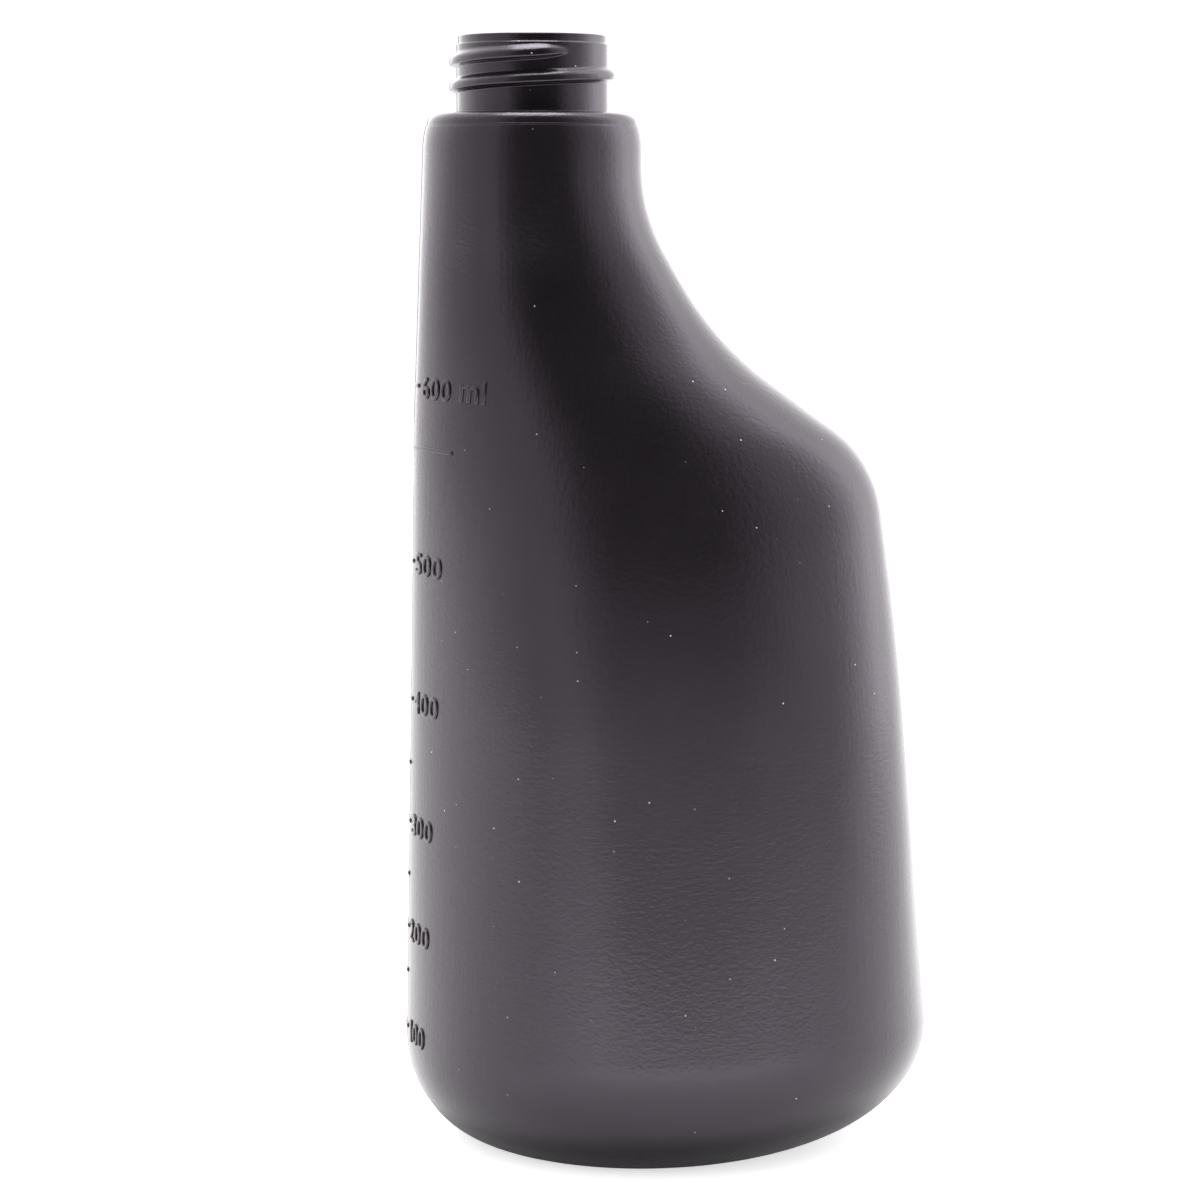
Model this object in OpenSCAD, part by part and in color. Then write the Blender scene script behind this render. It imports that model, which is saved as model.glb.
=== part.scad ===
// Trigger-spray bottle, 600 ml, blow-moulded in one piece from high-density polyethylene.
// The body is narrow and round in front, with flat sides and a fuller back. It slopes in
// at the back to a round grip, and the threaded neck stands over the grip, near the
// front. It is shown open, without its sprayer.
// The origin is the middle of the body's outline on the standing plane.
// X runs from the front wall to the back, Y from side to side, Z up through the neck.

/* [Part] */
// Sub-part to build

/* [Body] */
// Front wall's distance from the origin, at the standing plane
front_reach = 44.6; // [43:0.1:48]
// Back wall's distance from the origin, where its straight run would meet the plane
back_reach = 46.3; // [42:0.1:50]
// Full width where the straight sides would meet the standing plane
side_width = 90.6; // [84:0.1:98]
// How much narrower than an ellipse each section is towards its front and back
pinch = 0.19; // [0:0.01:0.3]
// How far the section's two back corners are filled out
fullness = 0.12; // [0:0.01:0.18]
// Wall of the body and grip
wall = 1; // [0.8:0.1:1.6]
// Thickness of the floor
floor_thickness = 1.4; // [1:0.1:2.5]

/* [Front line] */
// Height at which the front wall starts to lean back
front_bend_height = 121; // [100:1:140]
// How far the wall has come in at that height
front_bend_in = 1.8; // [0:0.1:3]
// Radius of that bend
front_bend_radius = 200; // [50:5:300]

/* [Back line] */
// Height of the corner at the top of the straight back
hip_height = 115.6; // [108:0.1:120]
// Distance of that corner from the origin
hip_reach = 35.1; // [32:0.1:38]
// Radius of the rounded corner
hip_radius = 20; // [8:0.5:24]
// Height of the middle of the hollow slope
saddle_height = 135.7; // [132:0.1:140]
// Distance of that point behind the grip
saddle_gap = 12.1; // [10:0.1:14]
// Radius of the hollow slope
saddle_radius = 55; // [35:1:60]
// Height at which the slope turns up into the grip
throat_height = 156.8; // [152:0.1:158]
// Radius of that turn
throat_radius = 30; // [10:1:32]

/* [Side lines] */
// Height at which the sides start to draw in
side_bend_height = 92.3; // [80:0.1:100]
// Full width there
side_bend_width = 75.5; // [70:0.1:86]
// Radius of that bend
side_bend_radius = 150; // [60:5:160]
// Height at which the sides meet the grip
side_throat_height = 141.7; // [138:0.1:150]
// Radius of the turn into the grip
side_throat_radius = 50; // [10:1:60]

/* [Foot] */
// Height of the rounded foot at the front
foot_front_height = 18.2; // [12:0.1:24]
// Height of the rounded foot at the back
foot_back_height = 21.1; // [14:0.1:26]
// How far the foot draws in at the front
foot_front_inset = 15.2; // [10:0.1:20]
// How far it draws in at the back
foot_back_inset = 30.2; // [15:0.1:34]
// How far it draws in at each side
foot_side_inset = 17.3; // [10:0.1:24]
// Width of the flat ring that the bottle stands on
standing_ring = 3; // [1.5:0.5:5]
// Depth of the hollow in the middle of the base
push_up = 3; // [1:0.5:5]

/* [Grip and shoulder] */
// Diameter of the round grip
grip_diameter = 36.9; // [36:0.1:38]
// How far the grip's front stands behind the foot of the front wall
grip_setback = 3.4; // [2.5:0.1:5]
// Height at which the wall is fully round
round_height = 167; // [165:0.5:168]
// Height of the flat shoulder under the neck
shoulder_height = 173.3; // [172:0.1:178]
// Diameter at the shoulder
shoulder_diameter = 35.5; // [34:0.1:36]
// Radius of the shoulder's edge
shoulder_radius = 2; // [0.5:0.1:3]

/* [Neck] */
// Height of the rim above the shoulder
neck_height = 12.9; // [12.5:0.1:18]
// Diameter of the neck between the threads
neck_diameter = 25.4; // [24.9:0.1:26]
// Diameter of the opening
bore_diameter = 21.6; // [20.6:0.1:22]
// Diameter of the rim's upper band
rim_diameter = 24.8; // [24.4:0.1:24.8]
// Height of that band
rim_band = 1.3; // [0.8:0.1:1.6]
// Radius of the rim's edges
rim_radius = 0.3; // [0.1:0.1:0.5]
// Radius of the fillet between neck and shoulder
neck_fillet = 0.6; // [0.2:0.1:1]

/* [Thread] */
// Rise of the thread in one turn
thread_pitch = 4.23; // [3.5:0.01:4.6]
// Outside diameter over the thread
thread_diameter = 27.8; // [27:0.1:28]
// Height of the crest above the shoulder at the back of the neck
thread_height = 6.5; // [6.3:0.1:7]
// Degrees from the back of the neck, counted around it, to the lower end
thread_from = -245; // [-260:5:-180]
// Degrees to the upper end
thread_to = 292; // [220:1:292]
// Degrees over which each end fades out
thread_fade = 26; // [15:1:45]
// Width of the ridge's sloping upper side
thread_upper = 1.5; // [1.2:0.1:1.6]
// Width of its steep lower side
thread_lower = 1; // [0.8:0.1:1.1]

/* [Hidden] */
$fn = 96;
around = 64;
grip_r = grip_diameter / 2;
neck_x = grip_r + grip_setback - front_reach;
rim_height = shoulder_height + neck_height;
thread_step = 12;

function unit(v) = v / norm(v);

// Arc that rounds the corner p between its neighbours a and b
function bend(a, p, b, r, steps = 14) =
    let (u = unit(a - p), v = unit(b - p), half = acos(u * v) / 2,
         run = min(r / tan(half), norm(a - p) / 2, norm(b - p) / 2),
         rr = run * tan(half), c = p + unit(u + v) * rr / sin(half),
         s = p + run * u - c, e = p + run * v - c, w = 180 - 2 * half)
    w < 0.01 ? [p] : [for (k = [0:steps])
        c + (s * sin(w - k * w / steps) + e * sin(k * w / steps)) / sin(w)];

// A line up the wall as height and distance, with all its inner corners rounded
function outline(p, r) = concat([p[0]],
    [for (i = [1:len(p) - 2]) each bend(p[i - 1], p[i], p[i + 1], r[i - 1])],
    [p[len(p) - 1]]);

back_line = outline([[0, back_reach], [hip_height, hip_reach],
    [saddle_height, neck_x + grip_r + saddle_gap], [throat_height, neck_x + grip_r],
    [shoulder_height, neck_x + grip_r]], [hip_radius, saddle_radius, throat_radius]);
front_line = outline([[0, -front_reach], [front_bend_height, front_bend_in - front_reach],
    [round_height, neck_x - grip_r]], [front_bend_radius]);
side_line = outline([[0, side_width / 2], [side_bend_height, side_bend_width / 2],
    [side_throat_height, grip_r], [shoulder_height, grip_r]],
    [side_bend_radius, side_throat_radius]);

// Share of the foot's inset left at height z, for a foot from z0 to its full height
function foot(z, z0, height) =
    let (u = min(max((height - z) / (height - z0), 0), 1)) 1 - sqrt(1 - u * u);

// Steepness of the wall's line at height z, for keeping the wall's thickness on slopes
function slant(line, z) = norm([1, (lookup(z + 1, line) - lookup(z - 1, line)) / 2]);

// One section: front, back, half width, share of the oval's pinch and fullness, and height.
// It is the outer face with t = 0, and the inner face with t = wall.
function section(z, t = 0) =
    let (z0 = t > 0 ? floor_thickness : 0, side_height = (foot_front_height + foot_back_height) / 2,
         u = min(z / round_height, 1))
    [lookup(z, front_line) + t * slant(front_line, z)
         + (foot_front_inset - t) * foot(z, z0, foot_front_height),
     lookup(z, back_line) - t * slant(back_line, z)
         - (foot_back_inset - t) * foot(z, z0, foot_back_height),
     lookup(z, side_line) - t * slant(side_line, z)
         - (foot_side_inset - t) * foot(z, z0, side_height),
     pow(max(sin(180 * u), 0), 1.5), z];

// The base inside the standing ring, drawn in by share f and domed up
function base(f, z0) =
    let (s = section(z0, z0 > 0 ? wall : 0), m = (s[0] + s[1]) / 2,
         g = f * (1 - 2 * standing_ring / (s[1] - s[0])))
    [m + g * (s[0] - m), m + g * (s[1] - m), g * s[2], s[3],
     z0 + push_up * (1 + cos(180 * f)) / 2];

// The section's points: a narrow rounded front, flat sides and a fuller back
function ring(s) = [for (i = [0:around - 1])
    let (t = 360 * i / around, fill = 2 * fullness * s[3] * (1 - cos(t)) * pow(sin(t), 2))
    [(s[0] + s[1]) / 2 - (s[1] - s[0]) / 2 * cos(t) * (1 + fill),
     s[2] * sin(t) * (1 - pinch * s[3] * pow(cos(t), 2)), s[4]]];

// Heights of the rings up the wall: close together round the foot and the hip
function heights(foot_steps, body_steps, z0) = concat(
    [for (k = [0:foot_steps - 1]) z0 + (foot_back_height - z0) * (1 - cos(90 * k / foot_steps))],
    [for (k = [0:body_steps - 1])
        foot_back_height + (hip_height - 10 - foot_back_height) * k / body_steps],
    [for (k = [0:body_steps - 1]) hip_height - 10 + 20 * k / body_steps],
    [for (k = [0:body_steps + 1])
        hip_height + 10 + (round_height - hip_height - 10) * k / (body_steps + 1)]);

module skin(rings, start, end) {
    n = len(rings);
    polyhedron(
        points = concat([start], [for (r = rings) each r], [end]),
        faces = concat(
            [for (j = [0:around - 1]) [0, 1 + (j + 1) % around, 1 + j]],
            [for (i = [0:n - 2], j = [0:around - 1], half = [0, 1])
                let (a = 1 + i * around + j, b = 1 + i * around + (j + 1) % around)
                half == 0 ? [a, b, b + around] : [a, b + around, a + around]],
            [for (j = [0:around - 1])
                [1 + (n - 1) * around + j, 1 + (n - 1) * around + (j + 1) % around, 1 + n * around]]),
        convexity = 6);
}

// The body and grip: one skin up the outside, over the cut edge and down the inside
module body() {
    outer = concat([for (f = [1:4]) base(f / 4, 0)],
        [for (z = heights(10, 9, 0)) section(z)]);
    inner = concat([for (f = [1:3]) base(f / 3, floor_thickness)],
        [for (z = heights(7, 7, floor_thickness)) section(z, wall)]);
    middle = (outer[0][0] + outer[0][1]) / 2;
    skin(concat([for (s = outer) ring(s)], [for (i = [len(inner) - 1:-1:0]) ring(inner[i])]),
        [middle, 0, push_up], [middle, 0, floor_thickness + push_up]);
}

// Points of a quarter-round of radius r about c, from angle a to angle b
function quarter(c, r, a, b) = [for (k = [0:5]) c + r * [cos(a + (b - a) * k / 5), sin(a + (b - a) * k / 5)]];

// The shoulder and the neck with its opening, turned about the neck's axis
module neck() {
    edge = shoulder_diameter / 2 - shoulder_radius;
    start = [edge + shoulder_radius * cos(18), shoulder_height - shoulder_radius * (1 - sin(18))];
    neck_r = neck_diameter / 2;
    bore_r = bore_diameter / 2;
    rim_r = rim_diameter / 2;
    translate([neck_x, 0, 0]) rotate_extrude() polygon(concat(
        [for (k = [0:5]) [grip_r + 0.03 - (grip_r + 0.03 - start[0]) * pow(k / 6, 2),
            round_height + (start[1] - round_height) * k / 6]],
        quarter([edge, shoulder_height - shoulder_radius], shoulder_radius, 18, 90),
        quarter([neck_r + neck_fillet, shoulder_height + neck_fillet], neck_fillet, 270, 180),
        [[neck_r, rim_height - rim_band - 0.3], [rim_r, rim_height - rim_band]],
        quarter([rim_r - rim_radius, rim_height - rim_radius], rim_radius, 0, 90),
        quarter([bore_r + rim_radius, rim_height - rim_radius], rim_radius, 90, 180),
        [[bore_r, shoulder_height - wall], [edge, shoulder_height - wall],
         [shoulder_diameter / 2 - wall, shoulder_height - shoulder_radius],
         [grip_r - wall - 0.03, round_height]]));
}

// The thread: a helical ridge with a sloping upper side, fading out at both ends
module thread() {
    root = neck_diameter / 2;
    h = thread_diameter / 2 - root;
    n = ceil((thread_to - thread_from) / thread_step);
    shape = [[-0.5, -thread_lower], [0.7 * h, -0.85 * thread_lower], [h, -0.45 * thread_lower],
        [0.95 * h, 0.1 * thread_upper], [0.35 * h, 0.65 * thread_upper], [-0.5, thread_upper]];
    m = len(shape);
    function grow(a) = sin(90 * min(1, (a - thread_from) / thread_fade, (thread_to - a) / thread_fade));
    function place(a, p) = let (g = max(grow(a), 0), r = root + (p[0] > 0 ? g * (p[0] + 0.2) - 0.2 : p[0]))
        [neck_x + r * cos(a), r * sin(a),
         shoulder_height + thread_height + thread_pitch * a / 360 + (0.4 + 0.6 * g) * p[1]];
    turns = [for (i = [0:n]) thread_from + (thread_to - thread_from) * i / n];
    polyhedron(
        points = [for (a = turns, p = shape) place(a, p)],
        faces = concat([[for (k = [m - 1:-1:0]) k]],
            [for (i = [0:n - 1], k = [0:m - 1], half = [0, 1])
                let (a = i * m + k, b = i * m + (k + 1) % m)
                half == 0 ? [a, b, b + m] : [a, b + m, a + m]],
            [[for (k = [0:m - 1]) n * m + k]]),
        convexity = 8);
}

module bottle() color("#1d1a1d") union() {
    body();
    neck();
    thread();
}

bottle();
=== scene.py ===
import math

import bmesh
import bpy
from mathutils import Matrix, Vector


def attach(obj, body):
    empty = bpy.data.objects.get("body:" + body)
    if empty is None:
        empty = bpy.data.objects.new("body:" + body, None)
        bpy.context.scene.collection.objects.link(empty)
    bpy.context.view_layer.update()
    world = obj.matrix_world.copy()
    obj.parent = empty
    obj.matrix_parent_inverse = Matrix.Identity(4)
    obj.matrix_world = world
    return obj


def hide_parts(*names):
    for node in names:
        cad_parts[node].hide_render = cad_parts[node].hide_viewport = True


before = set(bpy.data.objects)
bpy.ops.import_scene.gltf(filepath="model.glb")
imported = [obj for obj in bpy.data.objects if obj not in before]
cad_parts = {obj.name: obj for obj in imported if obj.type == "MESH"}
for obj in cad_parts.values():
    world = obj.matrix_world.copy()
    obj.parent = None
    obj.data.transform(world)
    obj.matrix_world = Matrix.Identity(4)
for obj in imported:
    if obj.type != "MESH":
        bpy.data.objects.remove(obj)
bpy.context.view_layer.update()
MM = 0.001

# Photo view
# The camera stands a little in front of the bottle's side, at the height of the grip,
# and looks slightly down, as in the photograph.
camera_place = (-0.08146, -0.66725, 0.15407)
camera_bearing = math.radians(-6.0)
camera_tilt = math.radians(84.67)
camera_roll = 0.001
photo_camera = bpy.data.cameras.new("photo_camera")
photo_camera.lens = 119.07
photo_camera.sensor_width = 36
photo_camera.sensor_fit = "HORIZONTAL"
photo_camera.clip_start = 0.02
photo_camera.clip_end = 20
photo_view = bpy.data.objects.new("photo_view", photo_camera)
bpy.context.scene.collection.objects.link(photo_view)
photo_view.matrix_world = (
    Matrix.Translation(camera_place)
    @ Matrix.Rotation(camera_bearing, 4, "Z")
    @ Matrix.Rotation(camera_tilt, 4, "X")
    @ Matrix.Rotation(camera_roll, 4, "Z")
)
bpy.context.scene.camera = photo_view


# Moulded texture, a node group
# The skin of a blown polyethylene bottle: a fine pebbled grain from the sandblasted
# mould, ripples that run round the wall, faint upright lines from the die that the
# soft tube came out of, and a slow swell. The output is a height in metres.
def math_node(tree, operation):
    """A new Math node in a node tree."""
    node = tree.nodes.new("ShaderNodeMath")
    node.operation = operation
    return node


ripple_stretch = (0.33, 0.33, 1.0)
die_line_stretch = (1.0, 1.0, 0.012)
swell_depth = 0.00004
moulded_skin = bpy.data.node_groups.new("moulded_skin", "ShaderNodeTree")
moulded_skin.interface.new_socket("Position", in_out="INPUT", socket_type="NodeSocketVector")
for strength in ("Grain", "Ripple", "Die Lines"):
    moulded_skin.interface.new_socket(strength, in_out="INPUT", socket_type="NodeSocketFloat")
moulded_skin.interface.new_socket("Height", in_out="OUTPUT", socket_type="NodeSocketFloat")
skin_in = moulded_skin.nodes.new("NodeGroupInput")
skin_out = moulded_skin.nodes.new("NodeGroupOutput")
pebbles = moulded_skin.nodes.new("ShaderNodeTexNoise")
pebbles.inputs["Scale"].default_value = 1500
pebbles.inputs["Detail"].default_value = 2
pebbles.inputs["Roughness"].default_value = 0.55
flatten = moulded_skin.nodes.new("ShaderNodeVectorMath")
flatten.operation = "MULTIPLY"
flatten.inputs[1].default_value = ripple_stretch
waves = moulded_skin.nodes.new("ShaderNodeTexNoise")
waves.inputs["Scale"].default_value = 1700
waves.inputs["Detail"].default_value = 3
waves.inputs["Roughness"].default_value = 0.5
waves.inputs["Distortion"].default_value = 0.4
draw_out = moulded_skin.nodes.new("ShaderNodeVectorMath")
draw_out.operation = "MULTIPLY"
draw_out.inputs[1].default_value = die_line_stretch
streaks = moulded_skin.nodes.new("ShaderNodeTexNoise")
streaks.inputs["Scale"].default_value = 1300
streaks.inputs["Detail"].default_value = 2
swell = moulded_skin.nodes.new("ShaderNodeTexNoise")
swell.inputs["Scale"].default_value = 90
swell.inputs["Detail"].default_value = 1.5
grain_height = math_node(moulded_skin, "MULTIPLY")
ripple_height = math_node(moulded_skin, "MULTIPLY")
line_height = math_node(moulded_skin, "MULTIPLY")
swell_height = math_node(moulded_skin, "MULTIPLY")
swell_height.inputs[1].default_value = swell_depth
rippled = math_node(moulded_skin, "ADD")
swollen = math_node(moulded_skin, "ADD")
lined = math_node(moulded_skin, "ADD")
join = moulded_skin.links.new
join(skin_in.outputs["Position"], pebbles.inputs["Vector"])
join(pebbles.outputs["Fac"], grain_height.inputs[0])
join(skin_in.outputs["Grain"], grain_height.inputs[1])
join(skin_in.outputs["Position"], flatten.inputs[0])
join(flatten.outputs[0], waves.inputs["Vector"])
join(waves.outputs["Fac"], ripple_height.inputs[0])
join(skin_in.outputs["Ripple"], ripple_height.inputs[1])
join(skin_in.outputs["Position"], swell.inputs["Vector"])
join(swell.outputs["Fac"], swell_height.inputs[0])
join(skin_in.outputs["Position"], draw_out.inputs[0])
join(draw_out.outputs[0], streaks.inputs["Vector"])
join(streaks.outputs["Fac"], line_height.inputs[0])
join(skin_in.outputs["Die Lines"], line_height.inputs[1])
join(grain_height.outputs[0], rippled.inputs[0])
join(ripple_height.outputs[0], rippled.inputs[1])
join(rippled.outputs[0], swollen.inputs[0])
join(swell_height.outputs[0], swollen.inputs[1])
join(swollen.outputs[0], lined.inputs[0])
join(line_height.outputs[0], lined.inputs[1])
join(lined.outputs[0], skin_out.inputs["Height"])

# Dust, a node group
# A few pale specks that cling to the plastic: a dot in one cell out of four of a cell
# pattern, each with a size of its own. The output is the share of dust, 0 or 1.
bare_cells = 0.72
largest_speck = 0.072
dust_specks = bpy.data.node_groups.new("dust_specks", "ShaderNodeTree")
dust_specks.interface.new_socket("Position", in_out="INPUT", socket_type="NodeSocketVector")
dust_specks.interface.new_socket("Spacing", in_out="INPUT", socket_type="NodeSocketFloat")
dust_specks.interface.new_socket("Share", in_out="OUTPUT", socket_type="NodeSocketFloat")
dust_in = dust_specks.nodes.new("NodeGroupInput")
dust_out = dust_specks.nodes.new("NodeGroupOutput")
cells = dust_specks.nodes.new("ShaderNodeTexVoronoi")
lot = dust_specks.nodes.new("ShaderNodeSeparateColor")
speck_size = dust_specks.nodes.new("ShaderNodeMapRange")
speck_size.inputs["From Min"].default_value = bare_cells
speck_size.inputs["From Max"].default_value = 1.0
speck_size.inputs["To Min"].default_value = 0.0
speck_size.inputs["To Max"].default_value = largest_speck
within = math_node(dust_specks, "LESS_THAN")
join = dust_specks.links.new
join(dust_in.outputs["Position"], cells.inputs["Vector"])
join(dust_in.outputs["Spacing"], cells.inputs["Scale"])
join(cells.outputs["Color"], lot.inputs["Color"])
join(lot.outputs["Red"], speck_size.inputs["Value"])
join(cells.outputs["Distance"], within.inputs[0])
join(speck_size.outputs["Result"], within.inputs[1])
join(within.outputs[0], dust_out.inputs["Share"])

# Black polyethylene
# The one material of the bottle: satin, almost black with a slight warm purple cast,
# a little uneven in tone and gloss, with the mould's texture and the specks of dust.
dark_tone = (0.0040, 0.0032, 0.0040, 1)
light_tone = (0.0064, 0.0051, 0.0064, 1)
dust_tone = (0.55, 0.53, 0.55, 1)
gloss_tint = (0.96, 0.85, 1.0, 1)
polyethylene = bpy.data.materials.new("black_polyethylene")
polyethylene.use_nodes = True
nodes = polyethylene.node_tree.nodes
join = polyethylene.node_tree.links.new
plastic = nodes["Principled BSDF"]
plastic.inputs["IOR"].default_value = 1.51
plastic.inputs["Specular Tint"].default_value = gloss_tint
place = nodes.new("ShaderNodeTexCoord")
skin = nodes.new("ShaderNodeGroup")
skin.node_tree = moulded_skin
skin.inputs["Grain"].default_value = 0.000034
skin.inputs["Ripple"].default_value = 0.000026
skin.inputs["Die Lines"].default_value = 0.000024
relief = nodes.new("ShaderNodeBump")
relief.inputs["Strength"].default_value = 1.0
relief.inputs["Distance"].default_value = 1.0
dust = nodes.new("ShaderNodeGroup")
dust.node_tree = dust_specks
dust.inputs["Spacing"].default_value = 540
cloud = nodes.new("ShaderNodeTexNoise")
cloud.inputs["Scale"].default_value = 55
cloud.inputs["Detail"].default_value = 5
tone = nodes.new("ShaderNodeValToRGB")
tone.color_ramp.elements[0].position = 0.3
tone.color_ramp.elements[0].color = dark_tone
tone.color_ramp.elements[1].position = 0.72
tone.color_ramp.elements[1].color = light_tone
dusted = nodes.new("ShaderNodeMix")
dusted.data_type = "RGBA"
dusted.inputs["B"].default_value = dust_tone
gloss = nodes.new("ShaderNodeMapRange")
gloss.inputs["From Min"].default_value = 0.25
gloss.inputs["From Max"].default_value = 0.75
gloss.inputs["To Min"].default_value = 0.2
gloss.inputs["To Max"].default_value = 0.26
join(place.outputs["Object"], skin.inputs["Position"])
join(place.outputs["Object"], dust.inputs["Position"])
join(place.outputs["Object"], cloud.inputs["Vector"])
join(cloud.outputs["Fac"], tone.inputs["Fac"])
join(cloud.outputs["Fac"], gloss.inputs["Value"])
join(tone.outputs["Color"], dusted.inputs["A"])
join(dust.outputs["Share"], dusted.inputs["Factor"])
join(dusted.outputs["Result"], plastic.inputs["Base Color"])
join(gloss.outputs["Result"], plastic.inputs["Roughness"])
join(skin.outputs["Height"], relief.inputs["Height"])
join(relief.outputs["Normal"], plastic.inputs["Normal"])


# Bottle wall
# Body, grip, shoulder and threaded neck are one blown piece of black polyethylene.
# Rings are drawn out one from the other: up the outside, over the rim, down the inside.
def shade_smooth(form):
    """Turn every face of a form outwards and shade it smooth."""
    bmesh.ops.recalc_face_normals(form, faces=form.faces)
    for face in form.faces:
        face.smooth = True


def make_piece(name, form, material):
    """An object with the form's mesh and the material, at the origin."""
    mesh = bpy.data.meshes.new(name)
    form.to_mesh(mesh)
    form.free()
    piece = bpy.data.objects.new(name, mesh)
    bpy.context.scene.collection.objects.link(piece)
    piece.data.materials.append(material)
    return piece


def rounded_line(corners, radii):
    """A line of (height, distance) points with each inner corner rounded."""
    line = [Vector(corners[0])]
    for before, corner, after, radius in zip(corners, corners[1:], corners[2:], radii):
        before, corner, after = Vector(before), Vector(corner), Vector(after)
        to_before, to_after = (before - corner).normalized(), (after - corner).normalized()
        half = math.acos(max(-1, min(1, to_before.dot(to_after)))) / 2
        room = min((before - corner).length, (after - corner).length) / 2
        run = min(radius / math.tan(half), room)
        inward = (to_before + to_after).normalized()
        centre = corner + inward * run * math.tan(half) / math.sin(half)
        start, end = corner + run * to_before - centre, corner + run * to_after - centre
        turn = math.pi - 2 * half
        for k in range(bend_steps + 1):
            a, b = math.sin(turn * (1 - k / bend_steps)), math.sin(turn * k / bend_steps)
            line.append(centre + (start * a + end * b) / math.sin(turn))
    return line + [Vector(corners[-1])]


def along(line, height):
    """Distance of a line at a height."""
    if height <= line[0][0]:
        return line[0][1]
    for low, high in zip(line, line[1:]):
        if height <= high[0]:
            return low[1] + (high[1] - low[1]) * (height - low[0]) / max(high[0] - low[0], 1e-9)
    return line[-1][1]


front_reach = 44.6
front_bend_height, front_bend_in, front_bend_radius = 121, 1.8, 200
back_reach = 46.3
hip_height, hip_reach, hip_radius = 115.6, 35.1, 20
saddle_height, saddle_gap, saddle_radius = 135.7, 12.1, 55
throat_height, throat_radius = 156.8, 30
side_reach = 45.3
side_bend_height, side_bend_reach, side_bend_radius = 92.3, 37.75, 150
side_throat_height, side_throat_radius = 141.7, 50
grip_r, grip_setback = 18.45, 3.4
round_height = 167
shoulder_height = 173.3
bend_steps = 32
neck_x = grip_r + grip_setback - front_reach
front_line = rounded_line(
    [
        (0, -front_reach),
        (front_bend_height, front_bend_in - front_reach),
        (round_height, neck_x - grip_r),
    ],
    [front_bend_radius],
)
back_line = rounded_line(
    [
        (0, back_reach),
        (hip_height, hip_reach),
        (saddle_height, neck_x + grip_r + saddle_gap),
        (throat_height, neck_x + grip_r),
        (shoulder_height, neck_x + grip_r),
    ],
    [hip_radius, saddle_radius, throat_radius],
)
side_line = rounded_line(
    [
        (0, side_reach),
        (side_bend_height, side_bend_reach),
        (side_throat_height, grip_r),
        (shoulder_height, grip_r),
    ],
    [side_bend_radius, side_throat_radius],
)

wall_thickness = 1.0
floor_thickness = 1.4
foot_front_height, foot_front_inset = 18.2, 15.2
foot_back_height, foot_back_inset = 21.1, 30.2
foot_side_height, foot_side_inset = 19.65, 17.3
side_pinch = 0.19
back_fullness = 0.12


def foot_draw(height, floor, top):
    """Share of the foot's inset left at a height."""
    u = min(max((top - height) / (top - floor), 0), 1)
    return 1 - math.sqrt(1 - u * u)


def wall_section(height, skin_depth=0.0):
    """Front, back, half width and share of the oval's pinch of the wall at a height."""
    floor = floor_thickness if skin_depth else 0.0

    def lean(line):
        return math.hypot(1, (along(line, height + 1) - along(line, height - 1)) / 2)

    front = along(front_line, height) + skin_depth * lean(front_line)
    back = along(back_line, height) - skin_depth * lean(back_line)
    side = along(side_line, height) - skin_depth * lean(side_line)
    front += (foot_front_inset - skin_depth) * foot_draw(height, floor, foot_front_height)
    back -= (foot_back_inset - skin_depth) * foot_draw(height, floor, foot_back_height)
    side -= (foot_side_inset - skin_depth) * foot_draw(height, floor, foot_side_height)
    share = math.sin(math.pi * height / round_height) ** 1.5 if 0 < height < round_height else 0.0
    return front, back, side, share


def oval_point(section, turn, height, draw=1.0):
    """A point of a section: narrow and round in front, flat-sided and fuller at the back."""
    front, back, side, share = section
    fill = 2 * back_fullness * share * (1 - math.cos(turn)) * math.sin(turn) ** 2
    nip = side_pinch * share * math.cos(turn) ** 2
    x = (front + back) / 2 - draw * (back - front) / 2 * math.cos(turn) * (1 + fill)
    return Vector((x, draw * side * math.sin(turn) * (1 - nip), height))


def wall_point(height, turn):
    """A point of the outer wall; the turn is 0 at the front and grows towards +Y."""
    return oval_point(wall_section(height), turn, height)


def wall_normal(height, turn):
    """The outward direction of the wall at a point."""
    across = wall_point(height, turn + 0.002) - wall_point(height, turn - 0.002)
    up = wall_point(height + 0.1, turn) - wall_point(height - 0.1, turn)
    return up.cross(across).normalized()


seam_height = 0.07
seam_turn = 0.006
even_turns = 192
ring_turns = [2 * math.pi * k / even_turns for k in range(even_turns)]
for seam in (0, math.pi):
    for offset in (-2, -1, 1, 2):
        ring_turns.append((seam + offset * seam_turn) % (2 * math.pi))
ring_turns.sort()
ring_points = len(ring_turns)


def seam_rise(turn):
    """The parting line of the mould stands out a little along the front and the back."""
    return seam_height * max(0, 1 - abs(math.sin(turn)) / (seam_turn + 0.0001))


neck_r = 12.7
thread_pitch = 4.23
thread_reach = 1.2
thread_height = 6.5
thread_from, thread_to, thread_fade = -245, 292, 26
crest_round = 0.07
end_width = 0.4
ridge_steps = [
    (-1.0, 0.0),
    (-0.9, 0.6),
    (-0.65, 0.93),
    (-0.25, 1.0),
    (0.3, 0.94),
    (0.75, 0.68),
    (1.15, 0.27),
    (1.5, 0.0),
]


def ridge_height(rise):
    """The thread's section: a sloping upper side, a rounded crest and a steep underside."""
    total = 0.0
    for k in (-2, -1, 0, 1, 2):
        d = rise + crest_round * k
        for (low, a), (high, b) in zip(ridge_steps, ridge_steps[1:]):
            if low <= d <= high:
                total += a + (b - a) * (d - low) / (high - low)
    return total / 5


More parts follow.
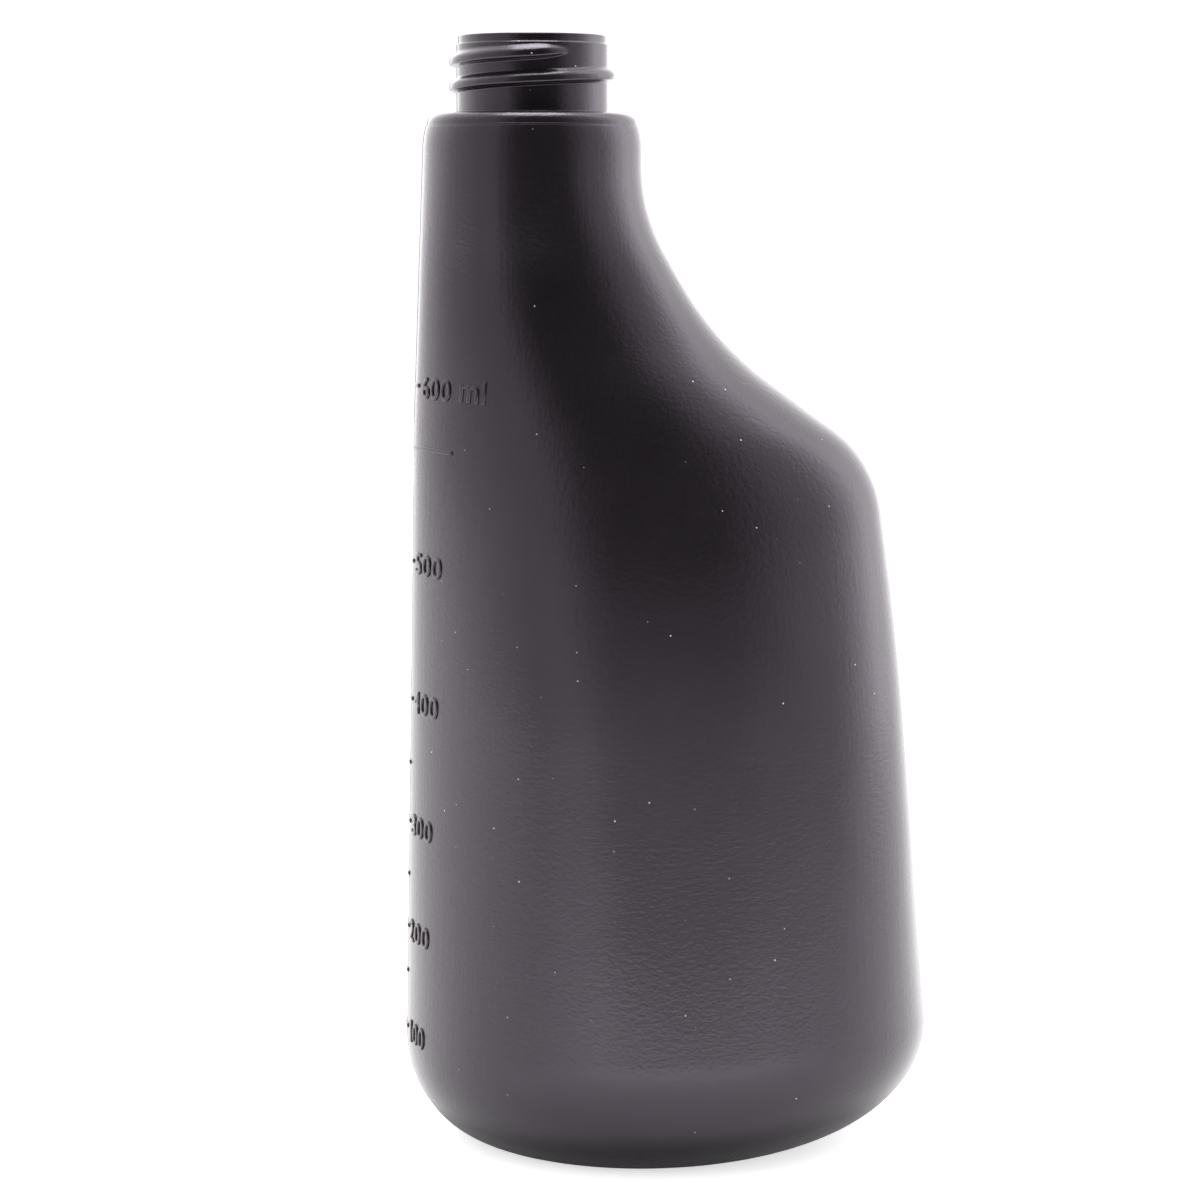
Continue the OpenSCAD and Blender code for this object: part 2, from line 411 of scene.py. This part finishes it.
def thread_rise(angle, height):
    """How far the thread stands out of the neck at an angle in degrees and a height."""
    most = 0.0
    for lap in (-1, 0, 1):
        a = angle + 360 * lap
        if thread_from <= a <= thread_to:
            run_out = min(1, (a - thread_from) / thread_fade, (thread_to - a) / thread_fade)
            fade = math.sin(math.radians(90 * run_out))
            rise = height - (shoulder_height + thread_height + thread_pitch * a / 360)
            ridge = ridge_height(rise / (end_width + (1 - end_width) * fade))
            most = max(most, thread_reach * fade * ridge)
    return most


def section_ring(height, skin_depth=0.0, draw=1.0, lift=0.0):
    """One oval ring; draw shrinks it towards its middle for the base."""
    section = wall_section(height, skin_depth)
    ring = [oval_point(section, turn, height + lift, draw) for turn in ring_turns]
    if not skin_depth and height > 0:
        for point, turn in zip(ring, ring_turns):
            point.x -= math.copysign(seam_rise(turn), math.cos(turn))
    return ring


def neck_ring(radius, height, outside=True, threaded=False):
    """One round ring about the neck's axis."""
    ring = []
    for turn in ring_turns:
        r = radius + (seam_rise(turn) if outside else 0.0)
        if threaded:
            r += thread_rise(math.degrees(math.pi - turn), height)
        ring.append(Vector((neck_x - r * math.cos(turn), r * math.sin(turn), height)))
    return ring


def steps(start, end, count):
    """Even steps from start, without the end."""
    return [start + (end - start) * k / count for k in range(count)]


def base_rise(share):
    """The base inside the standing ring is domed up; share is 0 in its middle, 1 at the ring."""
    return push_up * (1 + math.cos(math.pi * share)) / 2


# The base and the outside of the body, up to where the wall is round
standing_ring = 3
push_up = 3
body_height = 85
ring_draw = 1 - 2 * standing_ring / (wall_section(0)[1] - wall_section(0)[0])
wall_rings = []
for f in steps(0.04, 1, 14) + [1.0]:
    wall_rings.append(section_ring(0, draw=f * ring_draw, lift=base_rise(f)))
wall_rings.append(section_ring(0, draw=(1 + ring_draw) / 2))
for k in range(26):
    wall_rings.append(section_ring(foot_back_height * (1 - math.cos(math.pi / 2 * k / 26))))
for height in steps(foot_back_height, body_height, 24):
    wall_rings.append(section_ring(height))
for height in steps(body_height, round_height, 64) + [round_height]:
    wall_rings.append(section_ring(height))

# The shoulder, with the fine step that the mould's neck insert leaves below its edge
shoulder_r, shoulder_radius = 17.75, 2.0
insert_step = 0.1
insert_line = ((-0.3, 0.0), (-0.23, 0.045), (-0.23, -0.063), (-0.18, -0.108))
edge_radius, edge_turn = 1.95, 18
flat_radii = (15.0, 14.2, 13.4)
edge_angle = math.radians(edge_turn)
edge_start_r = shoulder_r - shoulder_radius + shoulder_radius * math.cos(edge_angle)
edge_start_height = shoulder_height - shoulder_radius + shoulder_radius * math.sin(edge_angle)
for k in range(1, 12):
    share = k / 12
    radius = grip_r - (grip_r - edge_start_r) * share**2
    height = round_height + (edge_start_height - round_height) * share
    if k == 11:
        for rise, step in insert_line:
            wall_rings.append(neck_ring(radius + step, height + rise))
        radius -= insert_step
    wall_rings.append(neck_ring(radius, height))
for a in steps(edge_turn, 90, 12) + [90]:
    a = math.radians(a)
    radius = shoulder_r - insert_step - edge_radius + edge_radius * math.cos(a)
    height = shoulder_height - edge_radius + edge_radius * math.sin(a)
    wall_rings.append(neck_ring(radius, height))
for radius in flat_radii:
    wall_rings.append(neck_ring(radius, shoulder_height))

# The neck, the band under the rim and the rim
neck_fillet, fillet_end = 0.3, 0.35
rim_height, rim_r, rim_radius = 186.2, 12.4, 0.3
bore_r = 10.8
band_height = 184.6
band_slope = ((12.7, 0.0), (12.66, 0.08), (12.44, 0.26), (12.4, 0.34))
for a in steps(0, 90, 6):
    a = math.radians(a)
    radius = neck_r + neck_fillet - neck_fillet * math.sin(a)
    height = shoulder_height + neck_fillet - neck_fillet * math.cos(a)
    wall_rings.append(neck_ring(radius, height))
for height in steps(shoulder_height + fillet_end, band_height, 100):
    wall_rings.append(neck_ring(neck_r, height, threaded=True))
for radius, rise in band_slope:
    wall_rings.append(neck_ring(radius, band_height + rise))
for a in steps(0, 90, 6) + [90]:
    a = math.radians(a)
    radius = rim_r - rim_radius + rim_radius * math.cos(a)
    height = rim_height - rim_radius + rim_radius * math.sin(a)
    wall_rings.append(neck_ring(radius, height))
for a in steps(90, 180, 6) + [180]:
    a = math.radians(a)
    radius = bore_r + rim_radius + rim_radius * math.cos(a)
    height = rim_height - rim_radius + rim_radius * math.sin(a)
    wall_rings.append(neck_ring(radius, height, outside=False))

# The bore and the inner shoulder
bore_top, bore_end = 185.2, 172.7
inner_shoulder = [
    (10.86, 172.45),
    (11.1, 172.3),
    (15.4, 172.3),
    (16.3, 172.0),
    (16.75, 171.3),
    (17.1, 169.5),
    (17.42, 167),
]
for height in steps(bore_top, bore_end, 10):
    wall_rings.append(neck_ring(bore_r, height, outside=False))
for radius, height in inner_shoulder:
    wall_rings.append(neck_ring(radius, height, outside=False))

# The inner face of the body, down to the floor
inner_foot = foot_back_height - floor_thickness
inner_body_height, inner_top = 105, 166.5
inner_heights = [
    floor_thickness + inner_foot * (1 - math.cos(math.pi / 2 * k / 12)) for k in range(12)
]
inner_heights += steps(foot_back_height, inner_body_height, 20)
inner_heights += steps(inner_body_height, inner_top, 26)
for height in reversed(inner_heights):
    wall_rings.append(section_ring(height, wall_thickness))
for f in reversed(steps(0.06, 1, 8) + [1.0]):
    ring = section_ring(floor_thickness, wall_thickness, f * ring_draw, base_rise(f))
    wall_rings.append(ring)

# Each ring is drawn out of the one before it, and the last is filled
wall_form = bmesh.new()
first = bmesh.ops.create_circle(
    wall_form, cap_ends=True, cap_tris=True, radius=1, segments=ring_points
)
loop = [v for v in first["verts"] if v.co.length > 0.5]
hub = [v for v in first["verts"] if v.co.length <= 0.5]
loop.sort(key=lambda v: math.atan2(v.co.y, v.co.x) % (2 * math.pi))
for v, p in zip(loop, wall_rings[0]):
    v.co = p * MM
middle = sum(wall_rings[0], Vector()) / ring_points
for v in hub:
    v.co = middle * MM
edges = [e for e in wall_form.edges if e.is_boundary]
for points in wall_rings[1:]:
    grown = bmesh.ops.extrude_edge_only(wall_form, edges=edges)
    new = [g for g in grown["geom"] if isinstance(g, bmesh.types.BMVert)]
    edges = [g for g in grown["geom"] if isinstance(g, bmesh.types.BMEdge) and g.is_boundary]
    partner = {}
    for v in new:
        for e in v.link_edges:
            other = e.other_vert(v)
            if other not in new:
                partner[other] = v
    loop = [partner[v] for v in loop]
    for v, p in zip(loop, points):
        v.co = p * MM
bmesh.ops.edgeloop_fill(wall_form, edges=edges)
shade_smooth(wall_form)
bottle_wall = make_piece("bottle_wall", wall_form, polyethylene)
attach(bottle_wall, "root")
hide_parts("bottle")

# Pinch line
# The mould nips the soft tube shut under the base and leaves this ridge in the hollow,
# of the same plastic, along the parting line.
nip_middle, nip_reach = -6.8, 15.5
nip_half_width, nip_wave = 0.75, 0.25
nip_depth, nip_root = 0.75, 0.25
nip_shell = 0.0004
base_middle, base_reach = -6.7, 19.9
pinch_form = bmesh.new()
bmesh.ops.create_grid(pinch_form, x_segments=32, y_segments=6, size=1)
for v in pinch_form.verts:
    run, side = v.co.x, v.co.y
    v.co.x = nip_middle + nip_reach * run
    taper = math.sqrt(max(0.0, 1 - run**6))
    v.co.y = (nip_half_width + nip_wave * math.cos(9 * run)) * side * taper
    dome = base_rise(min(1, abs(v.co.x - base_middle) / base_reach))
    v.co.z = dome + nip_root - nip_depth * math.sqrt(max(0, 1 - side**2)) * (1 - run**8)
    v.co *= MM
bmesh.ops.recalc_face_normals(pinch_form, faces=pinch_form.faces)
bmesh.ops.solidify(pinch_form, geom=pinch_form.faces[:], thickness=-nip_shell)
shade_smooth(pinch_form)
pinch_line = make_piece("pinch_line", pinch_form, polyethylene)
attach(pinch_line, "root")

# Raised scale
# Figures, ticks and the fill line are cut into the mould, so they stand out of the wall
# in the same plastic. Each is formed flat, in millimetres, and wrapped onto the wall.
mark_height, mark_root = 0.27, 0.15
mark_sag = 0.0024


def wall_turns(height):
    """Distance round the wall from its front edge, and the turn there."""
    pairs, distance, last = [], 0.0, wall_point(height, 0)
    for k in range(121):
        turn = math.radians(k * 0.75)
        point = wall_point(height, turn)
        distance += (point - last).length
        pairs.append((distance, turn))
        last = point
    return pairs


def wrap(form, height):
    """Lay a flat form on the wall; its X runs round towards -Y, its Z out of the wall."""
    reach = 2
    below, above = wall_turns(height - reach), wall_turns(height + reach)
    for v in form.verts:
        distance, level = abs(v.co.x), height + v.co.y - mark_sag * v.co.x**2
        share = (v.co.y + reach) / (2 * reach)
        turn = along(below, distance) * (1 - share) + along(above, distance) * share
        turn = -math.copysign(turn, v.co.x)
        v.co = (wall_point(level, turn) + wall_normal(level, turn) * v.co.z) * MM


def flat_figure(character, width, height):
    """One raised character with rounded edges, centred, as a flat form."""
    letter = bpy.data.curves.new("figure", "FONT")
    letter.body = character
    letter.resolution_u = 6
    letter.extrude = 0.006
    letter.bevel_depth = 0.044
    letter.bevel_resolution = 2
    letter.offset = -0.022
    carrier = bpy.data.objects.new("figure", letter)
    bpy.context.scene.collection.objects.link(carrier)
    shapes = bpy.context.evaluated_depsgraph_get()
    cut = bpy.data.meshes.new_from_object(carrier.evaluated_get(shapes))
    form = bmesh.new()
    form.from_mesh(cut)
    bpy.data.objects.remove(carrier)
    bpy.data.curves.remove(letter)
    bpy.data.meshes.remove(cut)
    bmesh.ops.remove_doubles(form, verts=form.verts, dist=0.0001)
    low = [min(v.co[i] for v in form.verts) for i in range(3)]
    high = [max(v.co[i] for v in form.verts) for i in range(3)]
    for v in form.verts:
        v.co.x = (v.co.x - (low[0] + high[0]) / 2) * width / (high[0] - low[0])
        v.co.y = (v.co.y - low[1]) * height / (high[1] - low[1])
        drop = (high[2] - v.co.z) / (high[2] - low[2])
        v.co.z = mark_height - drop * (mark_height + mark_root)
    return form


bar_width = 0.8
bar_end_round = 0.36
bar_edge_round = 0.24


def flat_bar(start, end):
    """A raised bar with round ends and rounded edges, as a flat form."""
    form = bmesh.new()
    bmesh.ops.create_cube(form, size=1)
    for v in form.verts:
        v.co.x = start if v.co.x < 0 else end
        v.co.y *= bar_width
        v.co.z = mark_height if v.co.z > 0 else -mark_root
    upright = [e for e in form.edges if abs(e.verts[0].co.z - e.verts[1].co.z) > 0.1]
    bmesh.ops.bevel(
        form,
        geom=upright,
        offset=bar_end_round,
        segments=5,
        profile=0.5,
        affect="EDGES",
        material=-1,
    )
    rim = [e for e in form.edges if all(abs(v.co.z - mark_height) < 1e-5 for v in e.verts)]
    bmesh.ops.bevel(
        form,
        geom=rim,
        offset=bar_edge_round,
        segments=3,
        profile=0.5,
        affect="EDGES",
        material=-1,
    )
    cuts = int(end - start)
    for k in range(1, cuts + 1):
        bmesh.ops.bisect_plane(
            form,
            geom=form.verts[:] + form.edges[:] + form.faces[:],
            plane_co=(start + (end - start) * k / (cuts + 1), 0, 0),
            plane_no=(1, 0, 0),
        )
    return form


def raised_figure(character, centre, width, height):
    """A flat figure moved to its place beside the front of the wall."""
    form = flat_figure(character, width, height)
    for v in form.verts:
        v.co += Vector((centre, -figure_drop, 0))
    return form


# Rows of the scale: figures, height, distance of the first from the front, pitch
scale_rows = [
    ("600", 127.75, 6.75, 2.87),
    ("500", 98.25, 5.55, 3.49),
    ("400", 75.0, 5.98, 3.52),
    ("300", 54.1, 5.3, 3.46),
    ("200", 36.15, 5.06, 3.58),
    ("100", 19.0, 5.5, 3.1),
]
figure_height, figure_drop = 3.75, 1.87
figure_share = 0.84
one_width = 1.5
tick_start, tick_gap, tick_lift = -4.0, 2.9, 0.2
unit_height = 128.1
unit_letters = (("m", 17.7, 3.9, 2.95), ("l", 20.67, 0.62, 3.85))
half_step_heights, half_step_reach = (64.2, 45.2, 28.6), 1.6
fill_line_height, fill_line_reach = 117.6, 14.9
marks = []
for figures, height, first, pitch in scale_rows:
    for k, character in enumerate(figures):
        width = one_width if character == "1" else figure_share * pitch
        form = raised_figure(character, first + k * pitch, width, figure_height)
        marks.append((form, height))
    marks.append((flat_bar(tick_start, first - tick_gap), height + tick_lift))
for character, centre, width, tall in unit_letters:
    marks.append((raised_figure(character, centre, width, tall), unit_height))
for height in half_step_heights:
    marks.append((flat_bar(-half_step_reach, half_step_reach), height))
marks.append((flat_bar(-fill_line_reach, fill_line_reach), fill_line_height))
scale_form = bmesh.new()
for form, height in marks:
    wrap(form, height)
    laid = bpy.data.meshes.new("mark")
    form.to_mesh(laid)
    form.free()
    scale_form.from_mesh(laid)
    bpy.data.meshes.remove(laid)
shade_smooth(scale_form)
raised_scale = make_piece("raised_scale", scale_form, polyethylene)
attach(raised_scale, "root")

# Studio
# A pale table under a wide soft lamp. White surroundings stand behind and to the right,
# dimmer ones to the left, and the room in front is nearly dark.
table_reach, table_front, table_back = 1.6, -0.35, 2.5
floor_form = bmesh.new()
bmesh.ops.create_grid(floor_form, x_segments=1, y_segments=1, size=1)
for v in floor_form.verts:
    v.co.x *= table_reach
    v.co.y = table_front if v.co.y < 0 else table_back
table_paint = bpy.data.materials.new("table_paint")
table_paint.use_nodes = True
nodes = table_paint.node_tree.nodes
join = table_paint.node_tree.links.new
paint = nodes["Principled BSDF"]
paint.inputs["Base Color"].default_value = (0.8, 0.8, 0.8, 1)
paint.inputs["Roughness"].default_value = 0.9
paint.inputs["Emission Color"].default_value = (1.0, 1.0, 1.0, 1)
seen = nodes.new("ShaderNodeLightPath")
lift = math_node(table_paint.node_tree, "MULTIPLY")
lift.inputs[1].default_value = 0.65
join(seen.outputs["Is Camera Ray"], lift.inputs[0])
join(lift.outputs[0], paint.inputs["Emission Strength"])
table_top = make_piece("table_top", floor_form, table_paint)

ceiling_light = bpy.data.lights.new("ceiling_light", "SUN")
ceiling_light.energy = 3.0
ceiling_light.angle = math.radians(40)
ceiling = bpy.data.objects.new("ceiling", ceiling_light)
bpy.context.scene.collection.objects.link(ceiling)

# Low white cards in front of the bottle, as (width, top), light its lower half; more of
# them overlap near the table, so their light fades out up the wall
card_sizes = (
    (0.5, 0.022),
    (0.16, 0.053),
    (0.34, 0.071),
    (0.2, 0.089),
    (0.26, 0.107),
    (0.18, 0.13),
    (0.4, 0.15),
)
card_glow = 0.21
card_distance, card_stagger = 0.12, 0.02
for width, top in card_sizes:
    card_light = bpy.data.lights.new("front_card", "AREA")
    card_light.shape = "RECTANGLE"
    card_light.size = width
    card_light.size_y = top
    card_light.energy = card_glow * math.pi * width * top
    front_card = bpy.data.objects.new("front_card", card_light)
    front_card.location = (0, -card_distance - card_stagger * width, top / 2)
    front_card.rotation_euler = (math.radians(90), 0, 0)
    front_card.visible_camera = False
    bpy.context.scene.collection.objects.link(front_card)

# The surroundings' brightness all round: 0 in front, 0.25 left, 0.5 behind, 0.75 right
room_level = 0.028
panel_levels = (
    (0.06, 0.033), (0.092, 0.1), (0.12, 0.235), (0.14, 0.28), (0.17, 0.28), (0.22, 0.34),
    (0.27, 0.42), (0.325, 0.56), (0.417, 0.64), (0.46, 0.78), (0.55, 0.78), (0.6, 0.58),
    (0.655, 0.64), (0.705, 1.0), (0.745, 0.8), (0.77, 0.58), (0.8, 0.37), (0.836, 0.31),
    (0.864, 0.22), (0.89, 0.11), (0.92, 0.033),
)
panel_brightness = 4.05
backdrop_brightness = 1.1
studio = bpy.data.worlds.new("studio")
bpy.context.scene.world = studio
studio.use_nodes = True
nodes = studio.node_tree.nodes
join = studio.node_tree.links.new
surround = nodes["Background"]
surround.inputs["Color"].default_value = (1.0, 0.985, 1.0, 1)
direction = nodes.new("ShaderNodeTexCoord")
flat = nodes.new("ShaderNodeSeparateXYZ")
bearing = math_node(studio.node_tree, "ARCTAN2")
turned = nodes.new("ShaderNodeMapRange")
turned.inputs["From Min"].default_value = -math.pi
turned.inputs["From Max"].default_value = math.pi
panels = nodes.new("ShaderNodeValToRGB")
panels.color_ramp.interpolation = "EASE"
stops = panels.color_ramp.elements
stops[0].position, stops[0].color = 0.0, (room_level, room_level, room_level, 1)
stops[1].position, stops[1].color = 1.0, (room_level, room_level, room_level, 1)
for position, level in panel_levels:
    stop = stops.new(position)
    stop.color = (level, level, level, 1)
bright = math_node(studio.node_tree, "MULTIPLY")
bright.inputs[1].default_value = panel_brightness
backdrop = nodes.new("ShaderNodeBackground")
backdrop.inputs["Color"].default_value = (1.0, 1.0, 1.0, 1)
backdrop.inputs["Strength"].default_value = backdrop_brightness
rays = nodes.new("ShaderNodeLightPath")
either = nodes.new("ShaderNodeMixShader")
join(direction.outputs["Generated"], flat.inputs[0])
join(flat.outputs["X"], bearing.inputs[0])
join(flat.outputs["Y"], bearing.inputs[1])
join(bearing.outputs[0], turned.inputs["Value"])
join(turned.outputs["Result"], panels.inputs["Fac"])
join(panels.outputs["Color"], bright.inputs[0])
join(bright.outputs[0], surround.inputs["Strength"])
join(surround.outputs[0], either.inputs[1])
join(backdrop.outputs[0], either.inputs[2])
join(rays.outputs["Is Camera Ray"], either.inputs["Fac"])
join(either.outputs[0], nodes["World Output"].inputs["Surface"])
bpy.context.scene.view_settings.view_transform = "Standard"
